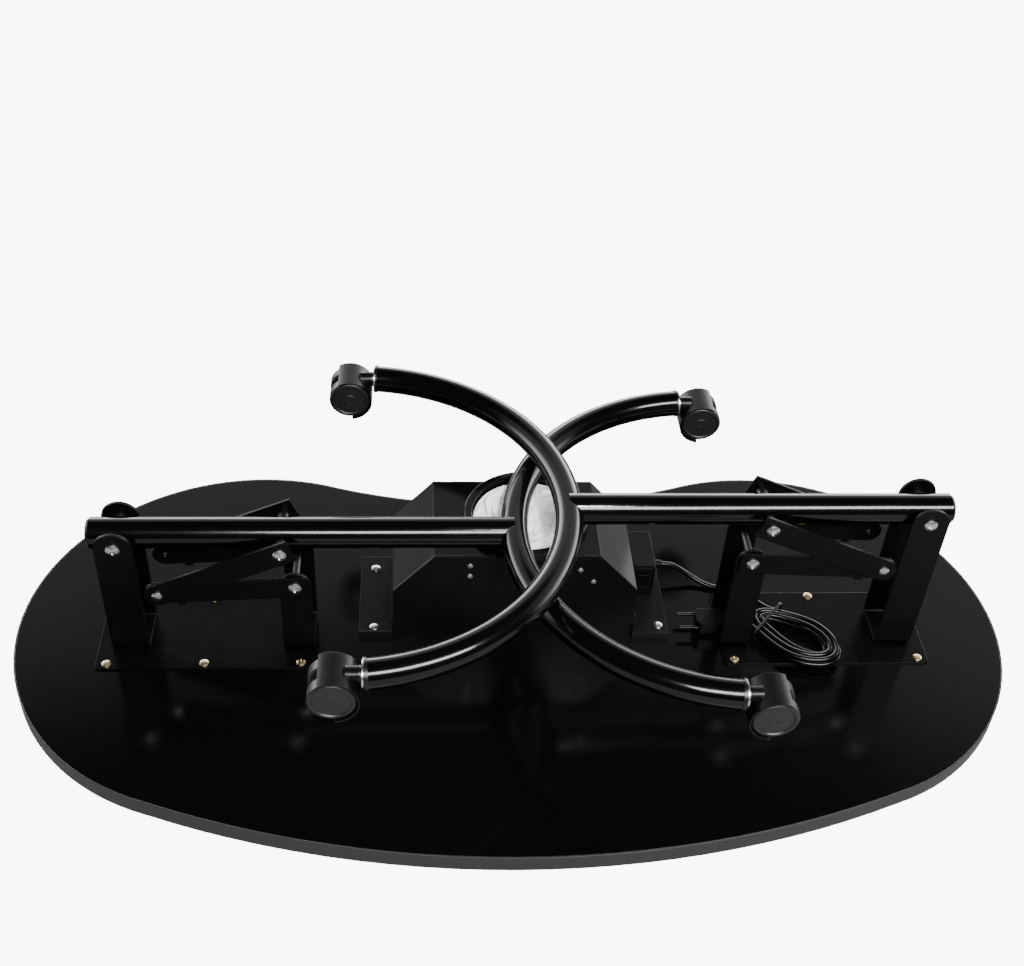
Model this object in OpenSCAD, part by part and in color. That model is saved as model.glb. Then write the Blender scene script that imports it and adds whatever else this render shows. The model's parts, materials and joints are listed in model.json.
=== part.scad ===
// Folding manicure table, lying on its worktop with both legs folded over the underside.
// X runs along the table, Y = 0 is the line of the two posts, Z = 0 is the worktop face.

/* [Worktop] */
// Radius of the two rounded ends
end_r = 227.5; // [222:0.5:240]
// Distance of the end centres from the middle
end_x = 272; // [255:1:290]
// Distance of the end centres behind the post line
end_y = 9; // [0:1:20]
// Middle of the bowed front edge, ahead of the post line
front_y = 271; // [258:1:285]
// Middle of the hollow back edge, behind the post line
back_y = 192; // [170:1:205]
// Thickness of the board
board_t = 18; // [15:0.5:25]
// Thickness of the edge band
band_t = 1.5; // [0.8:0.1:3]

/* [Base plates] */
// Distance of each plate's centre from the middle of the table
plate_x = 310; // [300:1:330]
// Length of a plate
plate_l = 210; // [205:1:230]
// Width of a plate
plate_w = 100; // [80:1:130]
// Thickness of a plate
plate_t = 2; // [1.5:0.1:4]
// Distance of the outer screws from the plate's ends
screw_end = 11; // [9:0.5:16]
// Distance of the screw rows from the plate's long edges
screw_edge = 6; // [6:0.5:9]
// Diameter of a screw head
screw_head_d = 9; // [7:0.5:10]
// Shank diameter of a screw
screw_d = 4; // [3:0.5:5]

/* [Brackets] */
// Distance of a leg's pivot from the middle of the table
pivot_x = 383; // [375:1:395]
// Gap between the housing's roof and the foot of the lower leg
leg_clear = 14.5; // [14:0.5:20]
// Extra height of the upper leg's pivot, which lets its foot lie over the other
leg_lift = 30; // [29:0.5:45]
// Width of the pivot bracket's walls
pivot_w = 36; // [30:1:38]
// Width of the strut bracket's walls
bracket_w = 30; // [26:1:31]
// Sheet thickness of the brackets
bracket_t = 3; // [2:0.5:4]
// Gap between a post and its pivot bracket
bracket_gap = 6; // [4:0.5:7]
// Distance of the strut hinge from the pivot, towards the middle
strut_x = 164.5; // [160:0.5:175]
// Depth of the strut hinge below the pivot
strut_z = 46.5; // [44:0.5:55]

/* [Struts] */
// Distance of the strut bolt on the post from the pivot
post_bolt_x = 153; // [146:1:154]
// Depth of the strut bolt below the post's centre line
post_bolt_z = 0.5; // [0:0.5:6]
// Length of the upper strut between its holes
upper_l = 129; // [127:0.5:135]
// Length of the lower strut between its holes
lower_l = 129.5; // [128:0.5:137]
// Width of a strut
link_w = 25; // [20:1:28]
// Thickness of a strut
link_t = 2.5; // [2:0.1:3]
// Gap between layers that slide past each other
link_gap = 0.5; // [0.3:0.1:1]

/* [Fasteners] */
// Diameter of the hinge bolts
bolt_d = 8; // [6:0.5:10]
// Diameter of the bolt heads
bolt_head_d = 13; // [11:0.5:15]
// Diameter of the knee pins
pin_d = 6; // [5:0.5:8]
// Radial clearance of a running fit
fit = 0.05; // [0.02:0.01:0.1]

/* [Legs] */
// Diameter of a post
post_d = 30; // [26:1:34]
// Wall of the tubes
tube_t = 2; // [1.5:0.1:3]
// Length of a post beyond its pivot
post_over = 24; // [20:1:26]
// Diameter of a foot's tube
foot_d = 27; // [24:1:28]
// Radius of the foot's arc
foot_r = 205; // [190:1:215]
// Angle of the foot's arc on each side of the post
foot_a = 84; // [75:1:88]
// Distance from the lower leg's pivot to the middle of its foot
low_reach = 373; // [365:1:376]

/* [Casters] */
// Diameter of a wheel
wheel_d = 42; // [36:1:48]
// Width of one of the two wheels
wheel_w = 13; // [10:0.5:15]
// Offset of the axle behind the stem
trail = 16; // [12:1:18]
// Distance of the axle from the end of the foot's tube
drop = 29; // [27:1:36]
// Thickness of the web between the wheels
web_t = 7.6; // [6:0.2:10]
// Thickness of the hood
hood_t = 1.5; // [1.2:0.1:2.5]
// Diameter of the swivel stem
stem_d = 8; // [7:0.5:10]
// Diameter of the axle
axle_d = 5; // [4:0.5:6]

/* [Dust collector] */
// Middle of the housing along the table
fan_x = -5; // [-10:1:0]
// Width of the housing
fan_w = 242; // [230:1:250]
// Front of the housing, ahead of the post line
fan_front = 5; // [0:1:10]
// Depth of the housing from front to back
fan_l = 112; // [108:1:125]
// Height of the upright walls
fan_wall_h = 62; // [50:1:68]
// Height of the whole housing above the underside
fan_h = 108; // [104:1:112]
// Inward slope of each shoulder
shoulder = 40; // [30:1:44]
// Wall of the housing
fan_t = 2.5; // [2:0.1:4]
// Middle of the outlet along the table
outlet_x = 6; // [0:1:10]
// Middle of the outlet behind the post line
outlet_y = 51; // [50:0.5:53]
// Outer diameter of the bag's ring
ring_d = 124; // [116:1:128]
// Width of the ring's band
ring_w = 8; // [6:0.5:12]
// Height of the ring
ring_h = 9; // [6:0.5:11]
// Size of the square fan
fan_size = 92; // [88:1:92]
// Depth of the fan
fan_depth = 25; // [20:1:38]
// Number of fan blades
blades = 7; // [5:1:9]
// Diameter of the air inlet in the worktop
inlet_d = 92; // [80:1:96]
// Height of the slack bag above the housing
bag_h = 11; // [8:0.5:11.5]

/* [Hangers] */
// Width of the left hanger's foot
hanger_lw = 35; // [28:1:38]
// Width of the right hanger's foot
hanger_rw = 38; // [34:1:42]
// Sheet thickness of the hangers
hanger_t = 2; // [1.5:0.1:3]
// Height of a hanger's upright flange
hanger_h = 24; // [18:1:40]
// Length that the hangers reach ahead of the housing
hanger_front = 7; // [5:1:12]

/* [Switch and cord] */
// Width of the switch box
box_w = 27; // [24:1:30]
// Length of the switch box
box_l = 55; // [45:1:58]
// Height of the switch box
box_h = 41; // [36:1:46]
// Diameter of the cord
cord_d = 5.5; // [5:0.1:6]

/* [Hidden] */

$fn = 64;
LEFT = -1;
RIGHT = 1;
plate_z = board_t + plate_t;

// Outline of the top: two end circles, a front arc and a hollow back arc that run on almost
// tangent to them. Each arc dips by this much into an end circle, so that they cross cleanly.
dip = 0.3;
front_k = front_y - end_r + dip;
front_cy = (end_x * end_x + end_y * end_y - front_k * front_k) / (2 * (front_k + end_y));
front_r = front_cy + front_y;
back_m = back_y - end_y;
back_k = end_r - dip;
back_r = (end_x * end_x + back_m * back_m - back_k * back_k) / (2 * (back_k - back_m));
back_cy = back_y + back_r;

// Height of a leg's pivot and distance from it to the middle of its foot
low_pivot_h = fan_h + leg_clear + foot_d / 2 - plate_t;
function pivot_z(side) = plate_z + low_pivot_h + (side == RIGHT ? leg_lift : 0);
function reach(side) = low_reach - (side == RIGHT ? leg_lift : 0);
foot_end_x = foot_r * cos(foot_a);
foot_end_y = foot_r * sin(foot_a);

// Layers beside the post: the brackets' walls, the lower struts, and the upper struts outermost
pivot_wall_y = post_d / 2 + bracket_gap;
strut_wall_y = post_d / 2 + 7;
lower_y = strut_wall_y + bracket_t + link_gap;
upper_y = lower_y + link_t + link_gap;

// Knee of the struts: where the circles about the post bolt and the strut hinge meet
q = [post_bolt_x, -post_bolt_z];
r = [strut_x, -strut_z];
qr = norm(r - q);
knee_a = (upper_l * upper_l - lower_l * lower_l + qr * qr) / (2 * qr);
knee_h = sqrt(upper_l * upper_l - knee_a * knee_a);
qr_dir = (r - q) / qr;
knee = q + knee_a * qr_dir + knee_h * [qr_dir[1], -qr_dir[0]] * (qr_dir[1] < 0 ? 1 : -1);

wheel_gap = 0.8;
hood_r = wheel_d / 2 + wheel_gap;
collar_l = 7;
run_gap = 0.3;

fan_top = board_t + fan_h;
fan_x0 = fan_x - fan_w / 2;
fan_x1 = fan_x + fan_w / 2;
fan_y1 = fan_l - fan_front;
outlet_d = fan_size - 4;
box_x = fan_x1 + hanger_t;
box_y = 48;
box_z = board_t + hanger_t;
switch_x = box_x + box_w / 2;
switch_z = box_z + 22;
gland_y = 76;
gland_z = box_z + 18;
gland_l = 11;

// Cord: a free run to the hank, whose loops spiral in, climb a layer and spiral out again
cord_r = cord_d / 2;
bed = plate_z + run_gap + cord_r;
floor_bed = board_t + run_gap + cord_r;
hank_c = [280, -18];
hank_turn = -40.8;
hank_a = 52;
hank_b = 33;
hank_loops = 5;
hank_step = cord_d + 1.5;
hank_layer = cord_d + 0.6;
hank_start = 120;
// Tie: its place along the hank, the half width it closes round, its width and thickness
tie_s = -30;
tie_in = 27.2;
tie_w = 3;
tie_t = 0.8;
loop_rings = 24;
hank_tilt = 3.4;
plug_x = 225;
plug_z = plate_z + bracket_t + run_gap + 7;

function hank_q(t) = hank_step * (t < hank_loops / 2 ? t : hank_loops - t);
function smooth(a) = a <= 0 ? 0 : a >= 1 ? 1 : a * a * (3 - 2 * a);
function hank_narrow(s) = 5 * smooth((hank_a * 0.4 - s) / hank_a);
function hank_sw(t) =
    let (a = hank_start - 360 * t, s = (hank_a - hank_q(t)) * cos(a))
    [s, (hank_b - hank_q(t) - hank_narrow(s)) * sin(a)];
function hank_z(t, s) = bed + hank_layer * smooth((t - hank_loops / 2 + 0.25) / 0.5)
    + hank_tilt * (s + hank_a) / (2 * hank_a);
function hank_world(p) = [hank_c[0] + p[0] * cos(hank_turn) - p[1] * sin(hank_turn),
    hank_c[1] + p[0] * sin(hank_turn) + p[1] * cos(hank_turn)];
function hank_point(t) = let (p = hank_sw(t), w = hank_world(p)) [w[0], w[1], hank_z(t, p[0])];
hank_end = hank_loops - 120 / 360;
hank_n = round(loop_rings * hank_end);
hank_pts = [for (i = [0:hank_n]) hank_point(hank_end * i / hank_n)];
// The hank's last bend to the plug
tail_pts = [[239, -8, 30.1], [234, -2.8, 30.2], [plug_x + 4, 0, plug_z], [plug_x, 0, plug_z]];
hank_path = concat(hank_pts, tail_pts);

// Route of the free run from the strain relief to the hank
run_start = [box_x + box_w + gland_l, gland_y, gland_z];
run_bends = [[168, 75.5, 36.5], [179, 72.5, 31], [190, 68, 25.5], [201, 62, 22.2], [212, 57.5, floor_bed],
    [223, 54.5, 21.6], [233, 49, 23.4], [243, 41.5, 24.2], [253, 32, 24.2], [262, 23.5, 24.2]];
run_path = concat([run_start], run_bends, [hank_pts[0]]);

// Least gap between turns of the hank, from each point to each straight stretch a third of a loop away or more
function to_stretch(p, a, b) = let (d = b - a, t = (p - a) * d / (d * d)) norm(p - a - max(0, min(1, t)) * d);
hank_last = len(hank_path) - 2;
hank_clear = min([for (i = [0:hank_last + 1]) for (j = [0:hank_last])
    if (abs(i - j) > loop_rings / 3) to_stretch(hank_path[i], hank_path[j], hank_path[j + 1])]) - cord_d;
echo(hank_least_gap = hank_clear, cord_length = path_length(run_path) + path_length(hank_path));

function path_length(p) = sum_to([for (i = [1:len(p) - 1]) norm(p[i] - p[i - 1])], len(p) - 2);
function sum_to(v, i) = i < 0 ? 0 : v[i] + sum_to(v, i - 1);
function unit(v) = v / norm(v);
function along(p, i) = unit(p[min(i + 1, len(p) - 1)] - p[max(i - 1, 0)]);

// Round tube swept along a list of points
module swept_tube(path, rad, sides) {
    n = len(path);
    rings = [for (i = [0:n - 1])
        let (t = along(path, i), u = unit(cross([0, 0, 1], t)), v = cross(t, u))
        for (k = [0:sides - 1]) path[i] + rad * (cos(360 * k / sides) * u + sin(360 * k / sides) * v)];
    walls = [for (i = [0:n - 2]) for (k = [0:sides - 1])
        let (a = i * sides + k, b = i * sides + (k + 1) % sides)
        each [[a, b, b + sides], [a, b + sides, a + sides]]];
    lids = concat([for (k = [1:sides - 2]) [0, k + 1, k]],
        [for (k = [1:sides - 2]) [(n - 1) * sides, (n - 1) * sides + k, (n - 1) * sides + k + 1]]);
    polyhedron([for (p = rings) p], [for (f = concat(walls, lids)) [f[0], f[2], f[1]]]);
}

// Places a left-hand piece drawn with its pivot at the origin and +X towards the middle
module at_pivot(side) {
    if (side == LEFT) translate([-pivot_x, 0, pivot_z(side)]) children();
    else translate([pivot_x, 0, pivot_z(side)]) mirror([1, 0, 0]) children();
}
module both_sides() {
    children();
    mirror([0, 1, 0]) children();
}
module rod_y(d, y0, y1) {
    translate([0, y0, 0]) rotate([-90, 0, 0]) cylinder(d = d, h = y1 - y0);
}
module rod_x(d, x0, x1) {
    translate([x0, 0, 0]) rotate([0, 90, 0]) cylinder(d = d, h = x1 - x0);
}

// Worktop

// Two round ends and a waist between the radii that lead to the arcs' meeting points
module top_shape(inset, h) {
    front_dir = unit([end_x, end_y - front_cy]);
    back_dir = unit([-end_x, back_cy - end_y]);
    far = end_r + 40;
    front_pt = [end_x, end_y] + far * front_dir;
    back_pt = [end_x, end_y] + far * back_dir;
    for (s = [-1, 1]) translate([s * end_x, end_y, 0]) cylinder(r = end_r - inset, h = h, $fn = 180);
    difference() {
        intersection() {
            translate([0, front_cy, 0]) cylinder(r = front_r - inset, h = h, $fn = 360);
            linear_extrude(h) polygon([[-end_x, end_y], [-front_pt[0], front_pt[1]], [0, -2 * front_y], front_pt,
                [end_x, end_y], back_pt, [-back_pt[0], back_pt[1]]]);
        }
        translate([0, back_cy, -1]) cylinder(r = back_r + inset, h = h + 2, $fn = 360);
    }
}
module screw_places(side) {
    for (i = [-1:1]) for (j = [-1, 1])
        translate([side * plate_x + i * (plate_l / 2 - screw_end), j * (plate_w / 2 - screw_edge), 0]) children();
}
hanger_screw_y = [3, 88];
// The rear right screw stands inside the switch box
module hanger_screw_places() {
    for (y = hanger_screw_y) translate([fan_x0 - hanger_lw * 0.56, y, 0]) children();
    translate([fan_x1 + hanger_rw * 0.75, hanger_screw_y[0], 0]) children();
    translate([switch_x, hanger_screw_y[1], 0]) children();
}
module pilot_hole() {
    translate([0, 0, board_t - 14]) cylinder(d = screw_d + 2 * fit, h = 15);
}
grille_rim = 6;
grille_t = 3;
module tabletop() color([0.03, 0.03, 0.035]) difference() {
    top_shape(band_t, board_t);
    translate([outlet_x, outlet_y, -1]) cylinder(d = inlet_d, h = board_t + 2);
    translate([outlet_x, outlet_y, -1]) cylinder(d = inlet_d + 2 * grille_rim, h = grille_t + 1);
    for (s = [-1, 1]) screw_places(s) pilot_hole();
    hanger_screw_places() pilot_hole();
}
module edge_band() color([0.29, 0.29, 0.3]) difference() {
    top_shape(0, board_t);
    translate([0, 0, -1]) top_shape(band_t, board_t + 2);
}
module vent_grille() color([0.08, 0.08, 0.08]) translate([outlet_x, outlet_y, 0]) {
    difference() {
        cylinder(d = inlet_d + 2 * grille_rim, h = grille_t);
        translate([0, 0, -1]) cylinder(d = inlet_d - 6, h = grille_t + 2);
    }
    for (d = [22:16:inlet_d - 14]) difference() {
        cylinder(d = d, h = grille_t);
        translate([0, 0, -1]) cylinder(d = d - 6, h = grille_t + 2);
    }
    for (a = [0:45:179]) rotate(a) translate([-inlet_d / 2 + 2, -1.5, 0]) cube([inlet_d - 4, 3, grille_t]);
}

// Base plates and brackets

module rounded_plate(l, w, t, rad) {
    translate([-l / 2, -w / 2 + rad, 0]) cube([l, w - 2 * rad, t]);
    translate([-l / 2 + rad, -w / 2, 0]) cube([l - 2 * rad, w, t]);
    for (i = [-1, 1]) for (j = [-1, 1])
        translate([i * (l / 2 - rad), j * (w / 2 - rad), 0]) cylinder(r = rad, h = t);
}
module base_plate(side) color([0.2, 0.2, 0.2]) difference() {
    translate([side * plate_x, 0, board_t]) rounded_plate(plate_l, plate_w, plate_t, 5);
    screw_places(side) translate([0, 0, board_t - 1]) cylinder(d = screw_d + 2 * fit, h = plate_t + 2);
}
screw_l = 12;
module pan_screw(z) {
    translate([0, 0, z]) difference() {
        intersection() {
            cylinder(d = screw_head_d, h = 2.8);
            translate([0, 0, -5.2]) sphere(r = 8);
        }
        for (a = [0, 90]) rotate(a) translate([-2.4, -0.5, 1.4]) cube([4.8, 1, 3]);
    }
    translate([0, 0, z - screw_l]) cylinder(d = screw_d, h = screw_l);
}
module plate_screws(side) color([0.72, 0.66, 0.5]) screw_places(side) pan_screw(plate_z);

// U bracket: two upright walls with round tops, joined by a bent foot on the plate
module u_bracket(wall_y, centre, width, bore) {
    foot_z = -pivot_drop_of(centre);
    difference() {
        both_sides() {
            translate([centre[0], wall_y, centre[1]]) rod_y(width, 0, bracket_t);
            translate([centre[0] - width / 2, wall_y, foot_z + bend_r])
                cube([width, bracket_t, centre[1] - foot_z - bend_r]);
            translate([centre[0] - width / 2, wall_y + bracket_t - bend_r, foot_z + bend_r]) difference() {
                rotate([0, 90, 0]) cylinder(r = bend_r, h = width);
                translate([-1, 0, 0]) rotate([0, 90, 0]) cylinder(r = bend_r - bracket_t, h = width + 2);
                translate([-1, -2 * bend_r, -2 * bend_r]) cube([width + 2, 2 * bend_r, 4 * bend_r]);
                translate([-1, -2 * bend_r, 0]) cube([width + 2, 4 * bend_r, 2 * bend_r]);
            }
            translate([centre[0] - width / 2, 0, foot_z])
                cube([width, wall_y + bracket_t - bend_r, bracket_t]);
        }
        translate([centre[0], 0, centre[1]]) rod_y(bore, -plate_w / 2, plate_w / 2);
    }
}
bend_r = 6;
function pivot_drop_of(c) = c[2];
module pivot_bracket(side) color([0.1, 0.1, 0.1]) at_pivot(side)
    u_bracket(pivot_wall_y, [0, 0, pivot_z(side) - plate_z], pivot_w, bolt_d + 2 * fit);
module strut_bracket(side) color([0.1, 0.1, 0.1]) at_pivot(side)
    u_bracket(strut_wall_y, [strut_x, -strut_z, pivot_z(side) - plate_z], bracket_w, bolt_d + 2 * fit);

// Bolt across the leg: a pan head with a cross slot on the front, a nut on the back
head_h = 3.2;
module cross_bolt(half) {
    rod_y(bolt_d, -half, half + head_h);
    translate([0, -half, 0]) rotate([90, 0, 0]) difference() {
        intersection() {
            cylinder(d = bolt_head_d, h = head_h);
            translate([0, 0, head_h - 11]) sphere(r = 11);
        }
        for (a = [0, 90]) rotate(a) translate([-3.2, -0.7, head_h - 1.6]) cube([6.4, 1.4, 3]);
    }
    translate([0, half, 0]) rotate([-90, 0, 0]) difference() {
        cylinder(d = bolt_head_d, h = head_h, $fn = 6);
        translate([0, 0, -1]) cylinder(d = bolt_d, h = head_h + 2);
    }
}
module hinge_bolts(side) color([0.75, 0.76, 0.78]) at_pivot(side) {
    cross_bolt(pivot_wall_y + bracket_t);
    translate([strut_x, 0, -strut_z]) cross_bolt(lower_y + link_t);
}

// Legs

module post(side) color([0.13, 0.13, 0.13]) at_pivot(side) difference() {
    rod_x(post_d, -post_over, reach(side));
    translate([-post_over - 1, 0, 0]) rod_x(post_d - 2 * tube_t, 0, post_over + reach(side) - foot_d);
    rod_y(bush_d + 2 * fit, -post_d, post_d);
    translate([post_bolt_x, 0, -post_bolt_z]) rod_y(bolt_d + 2 * fit, -post_d, post_d);
    foot_bend(side, foot_d, foot_a);
}
module foot_bend(side, d, a) {
    translate([reach(side) + foot_r, 0, 0]) rotate(180 - a) rotate_extrude(angle = 2 * a, $fn = 120)
        translate([foot_r, 0]) circle(d = d, $fn = 48);
}
module foot(side) color([0.14, 0.14, 0.14]) at_pivot(side) difference() {
    foot_bend(side, foot_d, foot_a);
    foot_bend(side, foot_d - 2 * tube_t, foot_a);
}
bush_d = bolt_d + 4;
module pivot_bush(side) color([0.1, 0.1, 0.1]) at_pivot(side) difference() {
    rod_y(bush_d, -pivot_wall_y + 0.1, pivot_wall_y - 0.1);
    rod_y(bolt_d + 2 * fit, -post_d, post_d);
}
module post_cap(side) color([0.06, 0.06, 0.06]) at_pivot(side) translate([-post_over, 0, 0]) {
    difference() {
        rotate([0, -90, 0]) cylinder(d1 = post_d, d2 = post_d - 5, h = 3);
        rod_x(post_d - 14, -4, -2);
    }
    rod_x(post_d - 2 * tube_t - 0.2, 0, 7);
}
// Plastic socket in each end of the foot, with a bright collar and a bore for the caster's stem
module socket_places(side) at_pivot(side) translate([reach(side) + foot_r - foot_end_x, 0, 0]) both_sides()
    translate([0, foot_end_y, 0]) children();
module foot_socket(side) difference() {
    union() {
        rotate(90 - foot_a) rod_x(foot_d + 1.5, 0, 3);
        rod_x(foot_d - 3, 1.2, 4.4);
        rod_x(15, 1.2, collar_l);
        translate([foot_end_x, -foot_end_y, 0]) rotate(180 - foot_a) rotate_extrude(angle = 5, $fn = 120)
            translate([foot_r, 0]) circle(d = foot_d - 2 * tube_t - 0.2, $fn = 48);
    }
    rod_x(stem_d + 2 * fit, -stem_in - 0.5, collar_l + 5);
}
stem_in = 14;
module foot_sockets(side) color([0.16, 0.16, 0.16]) socket_places(side) foot_socket(side);
// The post bolt has a wide shoulder on each side, which holds the upper struts away from the post
shoulder_d = 12;
module post_bolt(side) color([0.75, 0.76, 0.78]) at_pivot(side) translate([post_bolt_x, 0, -post_bolt_z]) {
    cross_bolt(upper_y + link_t);
    both_sides() rod_y(shoulder_d, post_d / 2 + 0.1, upper_y - 0.1);
}

// Flat struts with one round end at the knee and one squared end

module strut_bar(p0, p1, y0, bore0, bore1) {
    d = p1 - p0;
    translate([p0[0], y0, p0[1]]) rotate([0, -atan2(d[1], d[0]), 0]) difference() {
        union() {
            translate([-link_w / 2 + 0.5, 0, -link_w / 2]) cube([norm(d) + link_w / 2 - 0.5, link_t, link_w]);
            translate([norm(d), 0, 0]) rod_y(link_w, 0, link_t);
        }
        rod_y(bore0, -1, link_t + 1);
        translate([norm(d), 0, 0]) rod_y(bore1, -1, link_t + 1);
    }
}
module upper_struts(side) color([0.12, 0.12, 0.12]) at_pivot(side) both_sides()
    strut_bar(q, knee, upper_y, bolt_d + 2 * fit, pin_d + 2 * fit);
module lower_struts(side) color([0.12, 0.12, 0.12]) at_pivot(side) both_sides() {
    strut_bar(r, knee, lower_y, bolt_d + 2 * fit, pin_d + 2 * fit);
    // Finger tab below the edge, pushed to break the knee when the leg is folded
    d = knee - r;
    translate([r[0], lower_y, r[1]]) rotate([0, -atan2(d[1], d[0]), 0])
        translate([norm(d) - 25, 0, link_w / 2 - 1]) cube([8, link_t, 4.2]);
}
module knee_pins(side) color([0.75, 0.76, 0.78]) at_pivot(side) both_sides() translate([knee[0], 0, knee[1]]) {
    rod_y(pin_d, upper_y, upper_y + link_t);
    translate([0, upper_y + link_t, 0]) rotate([-90, 0, 0]) intersection() {
        cylinder(d = pin_d + 4, h = 2.6);
        translate([0, 0, -6.4]) sphere(r = 9);
    }
}

// Casters, drawn with the end of the foot at the origin and the stem along +X

module caster_place(side, row) at_pivot(side)
    translate([reach(side) + foot_r - foot_end_x, row * foot_end_y, 0]) children();
module caster_hood() {
    hood_from = 60;
    hood_span = 205;
    difference() {
        union() {
            translate([drop, 0, -trail]) rotate([90, 0, 0]) {
                rotate(hood_from) rotate_extrude(angle = hood_span) translate([hood_r, -hood_w / 2])
                    square([hood_t, hood_w]);
                rotate(hood_from) rotate_extrude(angle = hood_span) translate([2, -web_t / 2])
                    square([hood_r - 1.5, web_t]);
                translate([0, 0, -web_t / 2]) cylinder(r = 8, h = web_t);
            }
            difference() {
                rod_x(15, collar_l + run_gap, drop - trail + 5);
                translate([drop, 0, -trail]) rod_y(2 * hood_r, -20, 20);
            }
            rod_x(stem_d, -stem_in, collar_l + 2);
        }
        translate([drop, 0, -trail]) rod_y(axle_d + 2 * fit, -30, 30);
    }
}
hood_w = web_t + 2 * wheel_w + 3;
wheel_in = web_t / 2 + 0.7;
module caster_wheels() translate([drop, 0, -trail]) both_sides() translate([0, wheel_in, 0]) rotate([-90, 0, 0])
    rotate_extrude($fn = 72) polygon([[axle_d / 2, 0], [wheel_d / 2 - 1.5, 0], [wheel_d / 2, 1.5],
        [wheel_d / 2, wheel_w - 2], [wheel_d / 2 - 1.6, wheel_w - 0.4], [wheel_d / 2 - 4, wheel_w],
        [wheel_d / 2 - 5, wheel_w - 1.2], [7, wheel_w - 0.6], [6.4, wheel_w - 0.2], [axle_d / 2, wheel_w - 0.2]]);
module caster_axle() translate([drop, 0, -trail]) rod_y(axle_d, -wheel_in - wheel_w + 0.5, wheel_in + wheel_w - 0.5);
HOOD_C = [0.09, 0.09, 0.09];
WHEEL_C = [0.33, 0.33, 0.34];
AXLE_C = [0.7, 0.7, 0.72];

// Dust collector under the middle of the top

module fan_profile(inset) {
    k = (fan_h - fan_wall_h) / shoulder;
    slope = sqrt(1 + k * k);
    wall_x = fan_w / 2 - inset;
    roof_x = fan_w / 2 - shoulder - inset * (slope - 1) / k;
    wall_top = fan_wall_h - inset * (slope - k);
    polygon([[-wall_x, -inset], [-wall_x, wall_top], [-roof_x, fan_h - inset],
        [roof_x, fan_h - inset], [wall_x, wall_top], [wall_x, -inset]]);
}
module fan_block(inset, y0, y1) {
    translate([fan_x, y1, board_t]) rotate([90, 0, 0]) linear_extrude(y1 - y0) fan_profile(inset);
}
// Places of the cover's screws: distance from the middle of the table, height above the underside
cover_screws = [[-51, 82], [-51, 96], [71, 74], [57, 90]];
cover_screw_d = 3;
rib_w = 10;
rib_l = 6.5;
module fan_housing() color([0.035, 0.035, 0.04]) difference() {
    union() {
        difference() {
            fan_block(0, -fan_front + fan_t, fan_y1);
            fan_block(fan_t, -fan_front - 1, fan_y1 - fan_t);
        }
        // Ribs hanging from the roof, which take the cover's screws
        for (p = cover_screws) translate([p[0] - rib_w / 2, -fan_front + fan_t, board_t + p[1] - rib_w / 2])
            cube([rib_w, rib_l, fan_h - fan_t / 2 - p[1] + rib_w / 2]);
    }
    translate([outlet_x, outlet_y, fan_top - 10]) cylinder(d = outlet_d, h = 20);
    for (p = cover_screws) translate([p[0], 0, board_t + p[1]])
        rod_y(cover_screw_d + 2 * fit, -fan_front, -fan_front + fan_t + rib_l + 1);
}
module fan_cover() color([0.03, 0.03, 0.035]) difference() {
    fan_block(0, -fan_front, -fan_front + fan_t);
    for (p = cover_screws) translate([p[0], 0, board_t + p[1]])
        rod_y(cover_screw_d + 2 * fit, -fan_front - 1, 0);
}
fan_z1 = fan_top - fan_t;
hub_d = 0.37 * fan_size;
blade_in = hub_d / 2 - 2;
blade_out = outlet_d / 2 - 2;
module fan_frame() color([0.05, 0.05, 0.05]) translate([outlet_x, outlet_y, fan_z1 - fan_depth]) {
    difference() {
        rounded_plate(fan_size, fan_size, fan_depth, 4);
        translate([0, 0, -1]) cylinder(d = outlet_d, h = fan_depth + 2);
        for (i = [-1, 1]) for (j = [-1, 1]) translate([i * 0.45 * fan_size, j * 0.45 * fan_size, -1])
            cylinder(d = 4, h = fan_depth + 2);
    }
    cylinder(d = hub_d - 2, h = 4);
    for (a = [0:90:359]) rotate(a + 20) translate([hub_d / 2 - 5, -2, 0])
        cube([(outlet_d - hub_d) / 2 + 6, 4, 4]);
    cylinder(d = 4, h = fan_depth - 6);
}
module fan_rotor() color([0.1, 0.1, 0.1]) translate([outlet_x, outlet_y, fan_z1 - fan_depth + 4.4]) difference() {
    union() {
        cylinder(d = hub_d, h = fan_depth - 8);
        for (i = [0:blades - 1]) rotate(360 * i / blades) intersection() {
            translate([(blade_in + blade_out) / 2, 0, (fan_depth - 8) / 2]) rotate([38, 0, 0])
                cube([blade_out - blade_in, 30, 2], center = true);
            cylinder(r = blade_out, h = fan_depth - 8);
        }
    }
    translate([0, 0, -1]) cylinder(d = 4 + 2 * fit, h = fan_depth);
}
// Sheet angles that carry the housing, each with a foot on the board and a bent lip at the front
module fan_hangers() color([0.17, 0.17, 0.16]) {
    y0 = -fan_front - hanger_front;
    y1 = fan_y1;
    difference() {
        union() {
            translate([fan_x0 - hanger_lw, y0 + 4, board_t]) cube([hanger_lw, y1 - y0 - 4, hanger_t]);
            translate([fan_x0 - hanger_t, -fan_front, board_t]) cube([hanger_t, fan_l, hanger_h]);
            translate([fan_x0 - hanger_lw, y0 + 4, board_t]) cube([hanger_lw, hanger_t, 7]);
            translate([fan_x1, y0, board_t]) cube([hanger_rw, y1 - y0, hanger_t]);
            translate([fan_x1, -fan_front, board_t]) cube([hanger_t, fan_l, hanger_h]);
            translate([fan_x1, y0, board_t]) cube([hanger_rw, hanger_t, 7]);
        }
        hanger_screw_places() translate([0, 0, board_t - 1]) cylinder(d = screw_d + 2 * fit, h = 5);
    }
}
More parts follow.
